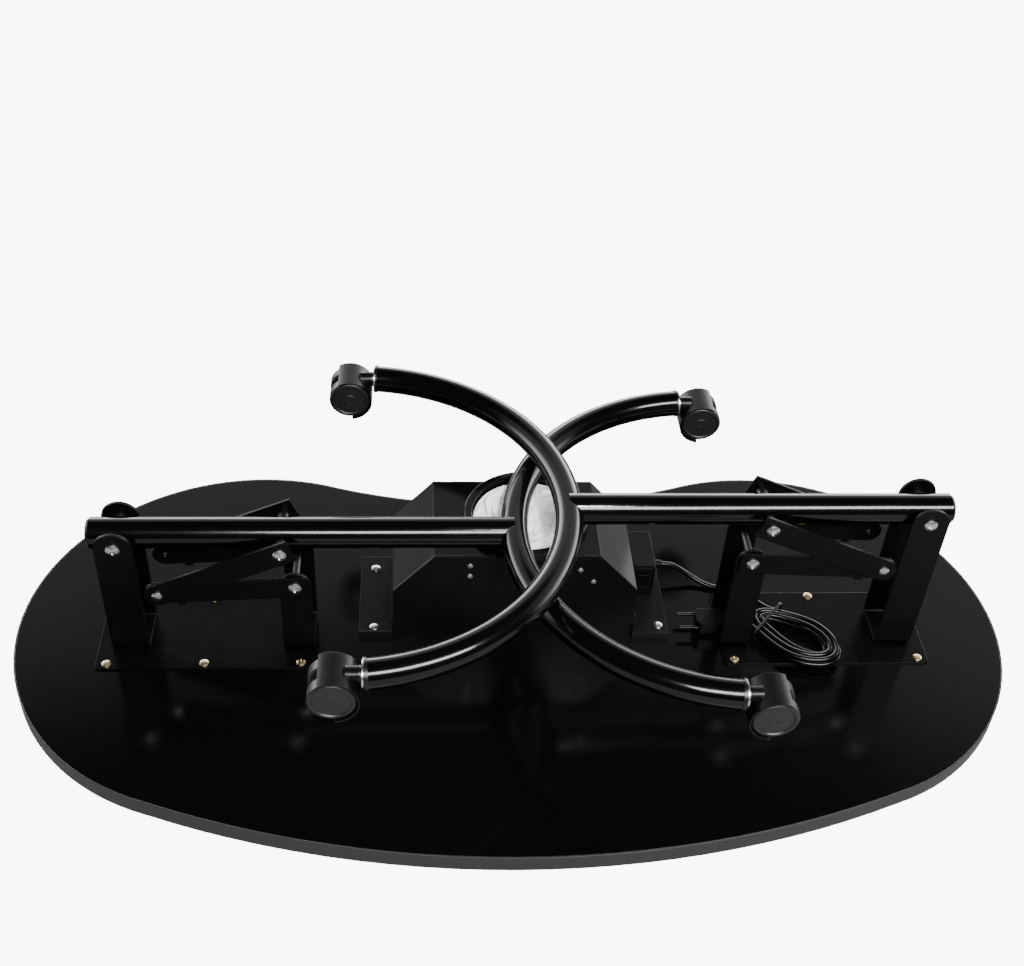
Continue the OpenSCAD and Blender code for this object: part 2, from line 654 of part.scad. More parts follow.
module fan_screws() color([0.6, 0.6, 0.6]) {
    hanger_screw_places() pan_screw(board_t + hanger_t);
    for (p = cover_screws) translate([p[0], -fan_front, board_t + p[1]]) {
        rod_y(cover_screw_d, 0, 8);
        rotate([90, 0, 0]) intersection() {
            cylinder(d = 6, h = 1.8);
            translate([0, 0, -3.2]) sphere(r = 5);
        }
    }
}
module bag_ring() color([0.04, 0.04, 0.045]) translate([outlet_x, outlet_y, fan_top]) rotate_extrude($fn = 96)
    translate([ring_d / 2 - ring_w, 0]) {
        square([ring_w, ring_h - 2]);
        translate([1, 0]) square([ring_w - 2, ring_h]);
        translate([1, ring_h - 2]) scale(0.5) circle(r = 2);
        translate([ring_w - 1, ring_h - 2]) scale(0.5) circle(r = 2);
    }
// Slack bag of thin cloth that lies crumpled in its ring: a low dome with soft folds
bag_rings = 13;
bag_sides = 52;
function bag_height(k, a) = let (f = 1 - pow(k, 3.2))
    bag_h * f * (0.78 + 0.1 * sin(3 * a + 40) + 0.07 * sin(5 * a + 250 * k) + 0.05 * sin(9 * a - 200 * k));
module dust_bag() color([0.93, 0.93, 0.94]) translate([outlet_x, outlet_y, fan_top + run_gap]) {
    rad = ring_d / 2 - ring_w - run_gap;
    top = [for (i = [1:bag_rings]) for (j = [0:bag_sides - 1])
        let (k = i / bag_rings, a = 360 * j / bag_sides)
        [rad * k * cos(a), rad * k * sin(a), 1.5 + bag_height(k, a)]];
    base = [for (j = [0:bag_sides - 1]) let (a = 360 * j / bag_sides) [rad * cos(a), rad * sin(a), 0]];
    pts = concat([[0, 0, 1.5 + bag_height(0, 0)]], top, base, [[0, 0, 0]]);
    n = bag_sides;
    last = len(pts) - 1;
    polyhedron(pts, concat(
        [for (j = [0:n - 1]) [0, 1 + (j + 1) % n, 1 + j]],
        [for (i = [0:bag_rings - 1]) for (j = [0:n - 1])
            let (a = 1 + i * n + j, b = 1 + i * n + (j + 1) % n)
            each [[a, b, b + n], [a, b + n, a + n]]],
        [for (j = [0:n - 1]) [last, last - n + j, last - n + (j + 1) % n]]));
}

// Switch box, rocker and strain relief

rocker_y = box_y + 3.2;
rocker_pin_d = 2;
module switch_box() color([0.05, 0.05, 0.05]) {
    difference() {
        translate([switch_x, box_y + box_l / 2, box_z]) {
            rounded_plate(box_w, box_l, box_h - 3, 5);
            translate([0, 0, box_h - 3]) rounded_plate(box_w - 3, box_l - 3, 3, 4);
        }
        translate([box_x + 2.5, box_y + 12, box_z - 1]) cube([box_w - 5, box_l - 14.5, box_h - 1.5]);
        translate([switch_x - 7, box_y - 1, switch_z - 10.5]) cube([14, 12, 21]);
        translate([switch_x - 4, box_y + 5, switch_z - 8]) cube([8, 12, 16]);
        translate([0, gland_y, gland_z]) rod_x(8, box_x + box_w - 6, box_x + box_w + 1);
    }
    // Pin that the rocker tilts on
    translate([switch_x, rocker_y, switch_z]) rod_x(rocker_pin_d, -7.5, 7.5);
}
module rocker_switch() color([0.12, 0.12, 0.12]) translate([switch_x, rocker_y, switch_z]) difference() {
    union() {
        rotate([8, 0, 0]) translate([-6.6, -4.4, -9.3]) cube([13.2, 6, 18.6]);
        rod_x(5, -6.6, 6.6);
    }
    rod_x(rocker_pin_d + 2 * fit, -10, 10);
}
module cord_gland() color([0.05, 0.05, 0.05]) translate([box_x + box_w, gland_y, gland_z]) difference() {
    union() {
        rod_x(8 - 0.1, -2.4, 0);
        rotate([0, 90, 0]) cylinder(d1 = 13, d2 = 12, h = 3);
        translate([3, 0, 0]) rotate([0, 90, 0]) cylinder(d1 = 10, d2 = 8, h = gland_l - 3);
    }
    for (x = [4.2, 6.4, 8.6]) translate([x, 0, 0]) difference() {
        rod_x(14, 0, 1);
        rod_x(7.4, -1, 2);
    }
}
module cord_run() color([0.04, 0.04, 0.04]) swept_tube(run_path, cord_r, 10);
module cord_hank() color([0.04, 0.04, 0.04]) swept_tube(hank_path, cord_r, 6);
// Flat tie bent round the hank near the end where the cord comes in
module cord_tie() color([0.1, 0.1, 0.1]) {
    low = bed - cord_r - 0.05 + hank_tilt * (tie_s + hank_a) / (2 * hank_a);
    tall = 2 * cord_d + 1.6;
    c = hank_world([tie_s, 0]);
    translate([c[0], c[1], low + tall / 2]) rotate(hank_turn) rotate([90, 0, 90])
        translate([0, 0, -tie_w / 2]) difference() {
            rounded_plate(2 * tie_in + 2 * tie_t, tall + 2 * tie_t, tie_w, 3 + tie_t);
            translate([0, 0, -1]) rounded_plate(2 * tie_in, tall, tie_w + 2, 3);
        }
}
module plug() color([0.05, 0.05, 0.05]) translate([plug_x, 0, plug_z]) {
    rotate([0, -90, 0]) cylinder(d1 = 8, d2 = 10, h = 9);
    translate([-26, 0, -7]) rounded_plate(35, 22, 14, 6);
    for (s = [-1, 1]) translate([-43, s * 9.3, 0]) rod_x(4, -18.5, 1);
}

tabletop();
edge_band();
vent_grille();
base_plate(LEFT);  // left_plate
base_plate(RIGHT);  // right_plate
plate_screws(LEFT);  // left_plate_screws
plate_screws(RIGHT);  // right_plate_screws
pivot_bracket(LEFT);  // left_pivot_bracket
pivot_bracket(RIGHT);  // right_pivot_bracket
strut_bracket(LEFT);  // left_strut_bracket
strut_bracket(RIGHT);  // right_strut_bracket
hinge_bolts(LEFT);  // left_hinge_bolts
hinge_bolts(RIGHT);  // right_hinge_bolts
post(LEFT);  // left_post
post(RIGHT);  // right_post
foot(LEFT);  // left_foot
foot(RIGHT);  // right_foot
post_cap(LEFT);  // left_post_cap
post_cap(RIGHT);  // right_post_cap
pivot_bush(LEFT);  // left_pivot_bush
pivot_bush(RIGHT);  // right_pivot_bush
foot_sockets(LEFT);  // left_foot_sockets
foot_sockets(RIGHT);  // right_foot_sockets
post_bolt(LEFT);  // left_post_bolt
post_bolt(RIGHT);  // right_post_bolt
upper_struts(LEFT);  // left_upper_struts
upper_struts(RIGHT);  // right_upper_struts
lower_struts(LEFT);  // left_lower_struts
lower_struts(RIGHT);  // right_lower_struts
knee_pins(LEFT);  // left_knee_pins
knee_pins(RIGHT);  // right_knee_pins
color(HOOD_C) caster_place(LEFT, -1) caster_hood();  // left_front_caster_hood
color(WHEEL_C) caster_place(LEFT, -1) caster_wheels();  // left_front_caster_wheels
color(AXLE_C) caster_place(LEFT, -1) caster_axle();  // left_front_caster_axle
color(HOOD_C) caster_place(LEFT, 1) caster_hood();  // left_rear_caster_hood
color(WHEEL_C) caster_place(LEFT, 1) caster_wheels();  // left_rear_caster_wheels
color(AXLE_C) caster_place(LEFT, 1) caster_axle();  // left_rear_caster_axle
color(HOOD_C) caster_place(RIGHT, -1) caster_hood();  // right_front_caster_hood
color(WHEEL_C) caster_place(RIGHT, -1) caster_wheels();  // right_front_caster_wheels
color(AXLE_C) caster_place(RIGHT, -1) caster_axle();  // right_front_caster_axle
color(HOOD_C) caster_place(RIGHT, 1) caster_hood();  // right_rear_caster_hood
color(WHEEL_C) caster_place(RIGHT, 1) caster_wheels();  // right_rear_caster_wheels
color(AXLE_C) caster_place(RIGHT, 1) caster_axle();  // right_rear_caster_axle
fan_housing();
fan_cover();
fan_frame();
fan_rotor();
fan_hangers();
fan_screws();
bag_ring();
dust_bag();
switch_box();
rocker_switch();
cord_gland();
cord_run();
cord_hank();
cord_tie();
plug();
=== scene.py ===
# %% [markdown]
# # A folding manicure table, lying on its worktop
# The table lies folded on the floor, as it is stored: worktop down, legs over it, and between them
# the box that draws filing dust through the board. The packed model is the skeleton of this
# scene. Every plate, tube and bolt comes from it in its true place, in metres, and could be
# modelled again here, but then the two would drift apart. So this lesson leaves the solids as
# they are. It is about finishes, the soft bag, the cord and the light.

# %% Load the packed model
import json
import math

import bpy
from mathutils import Matrix, Vector, noise


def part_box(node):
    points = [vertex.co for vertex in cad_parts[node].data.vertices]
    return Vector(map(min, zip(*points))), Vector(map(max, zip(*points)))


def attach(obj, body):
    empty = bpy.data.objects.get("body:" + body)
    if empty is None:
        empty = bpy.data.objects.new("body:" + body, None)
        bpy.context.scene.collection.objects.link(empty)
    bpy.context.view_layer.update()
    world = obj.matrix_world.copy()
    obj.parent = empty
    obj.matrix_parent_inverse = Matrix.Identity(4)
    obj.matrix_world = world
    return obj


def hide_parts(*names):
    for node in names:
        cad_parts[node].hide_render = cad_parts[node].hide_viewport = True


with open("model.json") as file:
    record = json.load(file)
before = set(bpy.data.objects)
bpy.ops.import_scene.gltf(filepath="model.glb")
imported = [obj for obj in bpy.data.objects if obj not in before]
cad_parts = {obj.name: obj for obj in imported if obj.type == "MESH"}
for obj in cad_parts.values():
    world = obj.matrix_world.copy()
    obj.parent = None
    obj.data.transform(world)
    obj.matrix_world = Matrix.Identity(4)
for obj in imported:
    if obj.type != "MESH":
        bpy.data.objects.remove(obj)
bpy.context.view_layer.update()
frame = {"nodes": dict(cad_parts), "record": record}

# %% [markdown]
# ## The camera
# The picture was taken from in front of the table and above it. A Track To constraint would aim a
# camera at the middle, but it keeps the horizon level, and this picture is a little tilted. A
# camera is a place and three axes: where it looks, what is right and what is up. The roll tips
# right and up together, so the axes are worked out and written into its matrix.

# %% Camera
YAW, PITCH, ROLL = 0.0933, 0.7076, 0.0621
CAMERA_PLACE = (-0.1049, -0.9603, 1.0409)
FOCAL_LENGTH, SENSOR_WIDTH = 48.22, 36


def camera_axes(yaw, pitch, roll):
    """Right, up and backward axes of a camera that looks along +Y when nothing is turned."""
    level = math.cos(pitch)
    forward = Vector((math.sin(yaw) * level, math.cos(yaw) * level, -math.sin(pitch)))
    right = Vector((math.cos(yaw), -math.sin(yaw), 0))
    up = right.cross(forward)
    c, s = math.cos(roll), math.sin(roll)
    return c * right + s * up, c * up - s * right, -forward


lens = bpy.data.cameras.new("camera")
lens.lens = FOCAL_LENGTH
lens.sensor_width = SENSOR_WIDTH
camera = bpy.data.objects.new("camera", lens)
bpy.context.collection.objects.link(camera)
axes = camera_axes(YAW, PITCH, ROLL)
camera.matrix_world = Matrix.Translation(CAMERA_PLACE) @ Matrix(axes).transposed().to_4x4()
bpy.context.scene.camera = camera
print("camera looks along", [round(-v, 3) for v in axes[2]])

# %% [markdown]
# ## A helper for finishes
# Nearly every surface here is black, so colour alone says nothing. What tells steel from
# laminate is how sharp the reflection is and how the skin waves. Pictures of scratches and grain
# could do this, but they need an unwrapped mesh. Noise on Object coordinates needs none, and its
# grain has the same true size on a bolt and on the board. A broad noise varies the roughness, a
# fine one varies the colour and gives a small bump, and a Bevel node rounds the edges that the
# light catches.

# %% Small node helpers
BROAD_DETAIL, FINE_DETAIL = 4, 3


def speckle(new, link, place, scale, detail):
    """A noise texture on Object coordinates, with scale in features per metre."""
    texture = new("ShaderNodeTexNoise")
    texture.inputs["Scale"].default_value = scale
    texture.inputs["Detail"].default_value = detail
    link(place.outputs["Object"], texture.inputs["Vector"])
    return texture.outputs["Fac"]


def relief(new, link, height, depth, under):
    """A bump of a depth in metres, laid over the normal that comes from under it."""
    bump = new("ShaderNodeBump")
    bump.inputs["Distance"].default_value = depth
    bump.inputs["Strength"].default_value = 1
    link(height, bump.inputs["Height"])
    link(under, bump.inputs["Normal"])
    return bump.outputs["Normal"]


print("noise details", BROAD_DETAIL, FINE_DETAIL)

# %% [markdown]
# All finishes share one recipe for a Principled shader, which takes a few numbers. Each could be
# put together by hand, but with one helper two finishes can be compared number by number.

# %% Finish helper
COAT_ROUGHNESS, SMOOTHEST, BEVEL_SAMPLES = 0.05, 0.02, 4


def finish(name, colour, rough, metal=0.0, spread=0.05, grain=900, wave=0.0, wave_scale=60,
           bump=0.00002, edge=0.0005, coat=0.0, sheen=0.0, shine=0.5, tint=0.15):
    """A procedural finish. Sizes are in metres, grain and wave_scale in features per metre."""
    mat = bpy.data.materials.new(name)
    mat.use_nodes = True
    mat.diffuse_color = (*colour, 1)
    tree = mat.node_tree
    link, new = tree.links.new, tree.nodes.new
    shader = tree.nodes["Principled BSDF"]
    for socket, value in (("Metallic", metal), ("Coat Weight", coat), ("Coat Roughness", COAT_ROUGHNESS),
                          ("Sheen Weight", sheen), ("Specular IOR Level", shine)):
        shader.inputs[socket].default_value = value
    place = new("ShaderNodeTexCoord")
    broad = speckle(new, link, place, wave_scale, BROAD_DETAIL)
    fine = speckle(new, link, place, grain, FINE_DETAIL)
    to_rough = new("ShaderNodeMapRange")
    to_rough.inputs["To Min"].default_value = max(SMOOTHEST, rough - spread)
    to_rough.inputs["To Max"].default_value = rough + spread
    link(broad, to_rough.inputs["Value"])
    link(to_rough.outputs["Result"], shader.inputs["Roughness"])
    shade = new("ShaderNodeMix")
    shade.data_type = "RGBA"
    shade.inputs["A"].default_value = (*[c * (1 - tint) for c in colour], 1)
    shade.inputs["B"].default_value = (*[min(1, c * (1 + tint)) for c in colour], 1)
    link(fine, shade.inputs["Factor"])
    link(shade.outputs["Result"], shader.inputs["Base Color"])
    rounded = new("ShaderNodeBevel")
    rounded.samples = BEVEL_SAMPLES
    rounded.inputs["Radius"].default_value = edge
    skin = relief(new, link, fine, bump, rounded.outputs["Normal"])
    if wave:
        skin = relief(new, link, broad, wave, skin)
    link(skin, shader.inputs["Normal"])
    return mat


print(finish.__doc__)

# %% [markdown]
# ## The finishes
# One for each material slot of the model's record. The board has a glossy melamine skin and a
# grey edge band. Plates and brackets are painted sheet, posts and feet are enamelled tube, the
# casters and bushes are nylon, and the bolts are plated with zinc. The blacks are hardly more
# than a thousandth bright, because the picture's blacks are nearly pure. The differences between
# them are in roughness, and in shine, which says how much of the room a surface mirrors.

# %% Finishes by slot
FINISHES = {
    "laminate": finish("laminate", (0.0012, 0.0012, 0.0014), 0.14, spread=0.03, grain=1400,
                       bump=0.000005, wave=0.00002, wave_scale=24, edge=0.0006, shine=0.25),
    "edge": finish("edge_band", (0.016, 0.016, 0.0165), 0.45, grain=1200, edge=0.0012),
    "black_steel": finish("black_steel", (0.0014, 0.0014, 0.0014), 0.26, spread=0.06, grain=1500,
                          bump=0.00001, edge=0.0008, shine=0.12),
    "tube_steel": finish("tube_steel", (0.0012, 0.0012, 0.0012), 0.15, spread=0.04, grain=1500,
                         bump=0.000006, coat=0.15, shine=0.3),
    "zinc": finish("zinc", (0.62, 0.62, 0.63), 0.28, metal=1.0, spread=0.1, grain=2500,
                   bump=0.00001, edge=0.0003),
    "screw_zinc": finish("screw_zinc", (0.60, 0.50, 0.30), 0.30, metal=1.0, spread=0.1, grain=2500,
                         edge=0.0003),
    "black_plastic": finish("black_plastic", (0.0016, 0.0016, 0.0016), 0.36, grain=2200,
                            bump=0.00003, edge=0.0006, shine=0.15),
    "nylon": finish("nylon", (0.006, 0.006, 0.006), 0.42, grain=1500, edge=0.0004),
    "hood": finish("hood", (0.0025, 0.0025, 0.0025), 0.30, grain=1800, edge=0.0008, shine=0.2),
    "wheel": finish("wheel", (0.006, 0.006, 0.0062), 0.42, grain=1800, edge=0.0007),
    "collector": finish("collector", (0.0012, 0.0012, 0.0014), 0.13, spread=0.03, grain=1400,
                        bump=0.000008, wave=0.00004, wave_scale=30, edge=0.001, shine=0.22),
    "hanger_steel": finish("hanger_steel", (0.004, 0.004, 0.0036), 0.32, grain=1500,
                           bump=0.00001, edge=0.0006, shine=0.14),
    "cord": finish("cord", (0.0012, 0.0012, 0.0012), 0.24, grain=2500, bump=0.00003,
                   edge=0.0003, shine=0.3),
    "tie": finish("tie", (0.004, 0.004, 0.004), 0.30, grain=1500, edge=0.0003),
}
slots = {s["node"]: s["material_slot"] for s in frame["record"]["subparts"]}


def give(name, material):
    """Replace the material of a node of the model."""
    frame["nodes"][name].data.materials.clear()
    frame["nodes"][name].data.materials.append(material)


for name in frame["nodes"]:
    if slots[name] in FINISHES:
        give(name, FINISHES[slots[name]])
print(len(FINISHES), "finishes on", len(frame["nodes"]), "nodes")

# %% [markdown]
# Two finishes are finer than the record's slots. The bent sheet of brackets and struts stands
# upright and is duller than the flat plates, and the casters hide their axles under black caps.
# More slots in the record would do the same. Here a few pieces are named one by one, because
# they differ in look and not in what they are made of.

# %% Sheet steel and axles
bracket_steel = finish("bracket_steel", (0.0012, 0.0012, 0.0012), 0.42, spread=0.06, grain=1500,
                       bump=0.00001, edge=0.0009, shine=0.14)
give("fan_cover", finish("cover_steel", (0.0012, 0.0012, 0.0012), 0.3, spread=0.06, grain=1500,
                         bump=0.00001, edge=0.0006, shine=0.12))
SHEET_PIECES = ("pivot_bracket", "strut_bracket", "upper_struts", "lower_struts")
for hand in ("left", "right"):
    for kind in SHEET_PIECES:
        give(hand + "_" + kind, bracket_steel)
    for end in ("front", "rear"):
        give(hand + "_" + end + "_caster_axle", FINISHES["wheel"])
print("bent sheet", 2 * len(SHEET_PIECES) + 1, "pieces, axles 4")

# %% [markdown]
# ## Two finishes on one piece
# A cross bolt turns in a black sleeve, and only its head and its nut are bright. The model has
# them in one solid. Its faces could be given two materials, but the meshes of the model stay
# untouched, so the shader finds the border by itself. Object coordinates say how far a point lies
# from the middle plane of the table, and a mask of Math nodes turns that into 0 or 1.

# %% Split helper
GRAIN_OF_SPLIT, BUMP_OF_SPLIT = 1800, 0.00001


def maths(new, link, operation, a, b):
    """One Math node. Each input is a number or another node's output."""
    step = new("ShaderNodeMath")
    step.operation = operation
    for socket, value in zip(step.inputs, (a, b)):
        if isinstance(value, bpy.types.NodeSocket):
            link(value, socket)
        else:
            socket.default_value = value
    return step.outputs[0]


def past_mask(new, link, place, direction, offset, around):
    """1 beyond the offset along a direction in plan, 0 before it. The sign of Y doesn't count.

    With around, a place beside that direction, a height and a radius, the point also has to be
    further than the radius from the axis there.
    """
    def m(operation, a, b=0):
        return maths(new, link, operation, a, b)

    parts = new("ShaderNodeSeparateXYZ")
    link(place.outputs["Object"], parts.inputs[0])
    x, y, z = parts.outputs[0], m("ABSOLUTE", parts.outputs[1]), parts.outputs[2]
    along = m("ADD", m("MULTIPLY", x, direction[0]), m("MULTIPLY", y, direction[1]))
    past = m("GREATER_THAN", along, offset)
    if around:
        beside, height, radius = around
        side = m("ADD", m("MULTIPLY", x, -direction[1]), m("MULTIPLY", y, direction[0]))
        side, up = m("SUBTRACT", side, beside), m("SUBTRACT", z, height)
        distance = m("SQRT", m("ADD", m("MULTIPLY", side, side), m("MULTIPLY", up, up)))
        past = m("MULTIPLY", past, m("GREATER_THAN", distance, radius))
    return past


print(past_mask.__doc__)

# %% [markdown]
# The mask mixes colour, roughness and metal of the two finishes, all on one shader.

# %% Split finish
def split_finish(name, inner, outer, direction, offset, around=None):
    """The inner finish before the offset, the outer one past it: colour, roughness and metal."""
    mat = bpy.data.materials.new(name)
    mat.use_nodes = True
    mat.diffuse_color = (*outer[0], 1)
    tree = mat.node_tree
    link, new = tree.links.new, tree.nodes.new
    place = new("ShaderNodeTexCoord")
    past = past_mask(new, link, place, direction, offset, around)
    shader = tree.nodes["Principled BSDF"]
    grain = new("ShaderNodeTexNoise")
    grain.inputs["Scale"].default_value = GRAIN_OF_SPLIT
    link(place.outputs["Object"], grain.inputs["Vector"])
    skin = new("ShaderNodeBump")
    skin.inputs["Distance"].default_value = BUMP_OF_SPLIT
    link(grain.outputs["Fac"], skin.inputs["Height"])
    link(skin.outputs["Normal"], shader.inputs["Normal"])
    for socket, low, high in (("Base Color", (*inner[0], 1), (*outer[0], 1)),
                              ("Roughness", inner[1], outer[1]), ("Metallic", inner[2], outer[2])):
        blend = new("ShaderNodeMix")
        blend.data_type = "RGBA" if socket == "Base Color" else "FLOAT"
        link(past, blend.inputs["Factor"])
        blend.inputs["A"].default_value = low
        blend.inputs["B"].default_value = high
        link(blend.outputs["Result"], shader.inputs[socket])
    return mat


BLACK = ((0.0014, 0.0014, 0.0014), 0.34, 0.0)
BRIGHT = ((0.62, 0.62, 0.63), 0.28, 1.0)
print("black", BLACK, "bright", BRIGHT)

# %% [markdown]
# Each leg turns on one bolt through the bracket, and its struts on a second one through the post.
# The sleeve ends where the bracket or the strut begins, at the same distance on both sides.

# %% Sleeved bolts
SLEEVE_END = {"hinge_bolts": 0.0238, "post_bolt": 0.0284}
for kind, half in SLEEVE_END.items():
    sleeved = split_finish(kind + "_finish", BLACK, BRIGHT, (0, 1), half)
    for hand in ("left", "right"):
        give(hand + "_" + kind, sleeved)
    print(kind, "black for", half, "m on both sides of the middle")

# %% [markdown]
# The end of each foot is closed by a plastic socket, which holds the stem of the caster. Beyond
# the tube it shows a bright ring with a dark neck in its middle. So the bright finish has to be
# past the tube's end and also away from the stem's axis.

# %% Washers of the feet
FOOT_END = {"left": 0.1736, "right": 0.1436}
WASHER_FROM, SOCKET_HALF, NECK_RADIUS = 0.0028, 0.0144, 0.0077
for hand, sign in (("left", 1), ("right", -1)):
    low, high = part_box(hand + "_foot_sockets")
    height = (low.z + high.z) / 2
    row = (high.y - low.y) / 2 - SOCKET_HALF
    washer = split_finish(hand + "_washer_finish", BLACK, BRIGHT, (sign, 0),
                          FOOT_END[hand] + WASHER_FROM, around=(sign * row, height, NECK_RADIUS))
    give(hand + "_foot_sockets", washer)
    print(hand, "socket height", round(height, 4), "row", round(row, 4))

# %% [markdown]
# ## The cord
# The fan's cord has a round black sheath and one length from the strain relief to the plug, so it
# is one curve: a free run down to the plate, a hank, and a short tail into the plug. A rope
# simulation could drop it there, but it wouldn't come to lie as the picture shows. A hank that
# somebody wound follows a rule, and so does this one: the turns spiral in, climb a layer and
# spiral out again, a step apart, and a function gives their points.

# %% Turns of the hank, in millimetres
MM = 0.001
CORD_D = 5.5
PLATE_TOP, ABOVE_PLATE = 20, 0.3
BED = PLATE_TOP + ABOVE_PLATE + CORD_D / 2
HANK_MIDDLE, HANK_TURN = (280, -18), math.radians(-40.8)
HANK_A, HANK_B, LOOPS = 52, 33, 5
STEP, LAYER = CORD_D + 1.5, CORD_D + 0.6
WAIST, WAIST_FROM, RISE, FIRST_ANGLE, CLIMB_TURNS = 5, 0.4, 3.4, 120, 0.5


def smooth(x):
    x = min(1, max(0, x))
    return x * x * (3 - 2 * x)


def hank_point(t):
    """A point of the hank after t turns. It narrows towards one end and rises towards the other."""
    q = STEP * (t if t < LOOPS / 2 else LOOPS - t)
    a = math.radians(FIRST_ANGLE - 360 * t)
    s = (HANK_A - q) * math.cos(a)
    w = (HANK_B - q - WAIST * smooth((HANK_A * WAIST_FROM - s) / HANK_A)) * math.sin(a)
    climbed = smooth((t - LOOPS / 2 + CLIMB_TURNS / 2) / CLIMB_TURNS)
    z = BED + LAYER * climbed + RISE * (s + HANK_A) / (2 * HANK_A)
    c, d = math.cos(HANK_TURN), math.sin(HANK_TURN)
    return (HANK_MIDDLE[0] + s * c - w * d, HANK_MIDDLE[1] + s * d + w * c, z)


TURNS, HANK_STEPS = LOOPS - 1 / 3, 112
hank = [hank_point(TURNS * i / HANK_STEPS) for i in range(HANK_STEPS + 1)]
print("hank from", [round(v) for v in hank[0]], "to", [round(v) for v in hank[-1]])

# %% [markdown]
# The points of the free run were set from the picture, and the tail meets the plug. A spline through all of
# them gives the line and its length.

# %% Route of the cord
FREE_RUN = [(156, 76, 38), (168, 75.5, 36.5), (179, 72.5, 31), (190, 68, 25.5), (201, 62, 22.2),
            (212, 57.5, 21.05), (223, 54.5, 21.6), (233, 49, 23.4), (243, 41.5, 24.2),
            (253, 32, 24.2), (262, 23.5, 24.2)]
TAIL = [(239, -8, 30.1), (234, -2.8, 30.2), (229, 0, 30.3), (225, 0, 30.3)]
STEPS_BETWEEN = 3


def spline_through(points, steps):
    """More points on a smooth curve through these ones (Catmull-Rom)."""
    full = [2 * points[0] - points[1], *points, 2 * points[-1] - points[-2]]
    out = []
    for i in range(1, len(full) - 2):
        a, b, c, d = full[i - 1:i + 3]
        slope, bend, twist = c - a, 2 * a - 5 * b + 4 * c - d, 3 * b - a - 3 * c + d
        for k in range(steps):
            t = k / steps
            out.append(0.5 * (2 * b + slope * t + bend * t * t + twist * t ** 3))
    return out + [points[-1]]


centreline = spline_through([Vector(p) * MM for p in FREE_RUN + hank + TAIL], STEPS_BETWEEN)

# %% [markdown]
# The sheath is a circle swept along that line. The bevel of a curve object would do it too. A
# node tree has its radius and sides as named inputs, and ends in Realize Instances and Set
# Material, so that the mesh it leaves is complete by itself.

# %% Sweep tree
def sweep_tree(name, material, radius, sides):
    """A node tree that sweeps a round section along the curve it is put on."""
    tree = bpy.data.node_groups.new(name, "GeometryNodeTree")
    face = tree.interface
    face.new_socket("Geometry", in_out="INPUT", socket_type="NodeSocketGeometry")
    r = face.new_socket("Radius", in_out="INPUT", socket_type="NodeSocketFloat")
    n = face.new_socket("Sides", in_out="INPUT", socket_type="NodeSocketInt")
    r.default_value, n.default_value = radius, sides
    face.new_socket("Geometry", in_out="OUTPUT", socket_type="NodeSocketGeometry")
    link, new = tree.links.new, tree.nodes.new
    start, end = new("NodeGroupInput"), new("NodeGroupOutput")
    ring, sweep = new("GeometryNodeCurvePrimitiveCircle"), new("GeometryNodeCurveToMesh")
    soft, real = new("GeometryNodeSetShadeSmooth"), new("GeometryNodeRealizeInstances")
    paint = new("GeometryNodeSetMaterial")
    sweep.inputs["Fill Caps"].default_value = True
    paint.inputs["Material"].default_value = material
    link(start.outputs["Radius"], ring.inputs["Radius"])
    link(start.outputs["Sides"], ring.inputs["Resolution"])
    link(start.outputs["Geometry"], sweep.inputs["Curve"])
    link(ring.outputs["Curve"], sweep.inputs["Profile Curve"])
    link(sweep.outputs["Mesh"], soft.inputs["Geometry"])
    link(soft.outputs["Geometry"], real.inputs["Geometry"])
    link(real.outputs["Geometry"], paint.inputs["Geometry"])
    link(paint.outputs["Geometry"], end.inputs["Geometry"])
    return tree, {s.name: s.identifier for s in face.items_tree if s.in_out == "INPUT"}


print(sweep_tree.__doc__)

# %% [markdown]
# The modifier sits on a curve object for a moment. The mesh that it makes is kept, and the
# curve and the modifier are removed.

# %% Sweep the cord
def swept(name, points, radius, sides, material):
    """A plain mesh object: a round tube along the points."""
    line = bpy.data.curves.new(name + "_line", "CURVE")
    line.dimensions = "3D"
    strand = line.splines.new("POLY")
    strand.points.add(len(points) - 1)
    for p, co in zip(strand.points, points):
        p.co = (*co, 1)
    source = bpy.data.objects.new(name + "_line", line)
    bpy.context.collection.objects.link(source)
    tree, sockets = sweep_tree(name + "_sweep", material, radius, sides)
    live = source.modifiers.new("sweep", "NODES")
    live.node_group = tree
    live[sockets["Radius"]] = radius
    live[sockets["Sides"]] = sides
    ready = source.evaluated_get(bpy.context.evaluated_depsgraph_get())
    mesh = bpy.data.meshes.new_from_object(ready)
    source.modifiers.remove(live)
    bpy.data.objects.remove(source)
    made = bpy.data.objects.new(name, mesh)
    bpy.context.collection.objects.link(made)
    return made


CORD_SIDES = 16
flex = swept("mains_cord", centreline, CORD_D / 2 * MM, CORD_SIDES, FINISHES["cord"])
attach(flex, "table")
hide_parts("cord_run", "cord_hank")
print("cord mesh", len(flex.data.polygons), "faces")

# %% [markdown]
# ## The dust bag
# The bag catches the dust that the fan blows into it. It is thin white cloth, and lies slack in
# its ring under the folded legs. Its creases could be sculpted, but cloth that is really pressed
# flat creases by itself. So a sack stands over the outlet, sewn to the ring at its rim, and a
# falling lid presses it down to the room that the folded leg leaves. The sack is a square grid
# bent to a disc, with walls below, because a fan of triangles would pinch in the middle.

# %% Disc and walls of the sack
BAG_RADIUS, SACK_HEIGHT, PRESSED = 0.0528, 0.056, 0.0136
GRID, WALL_ROWS = 28, 20


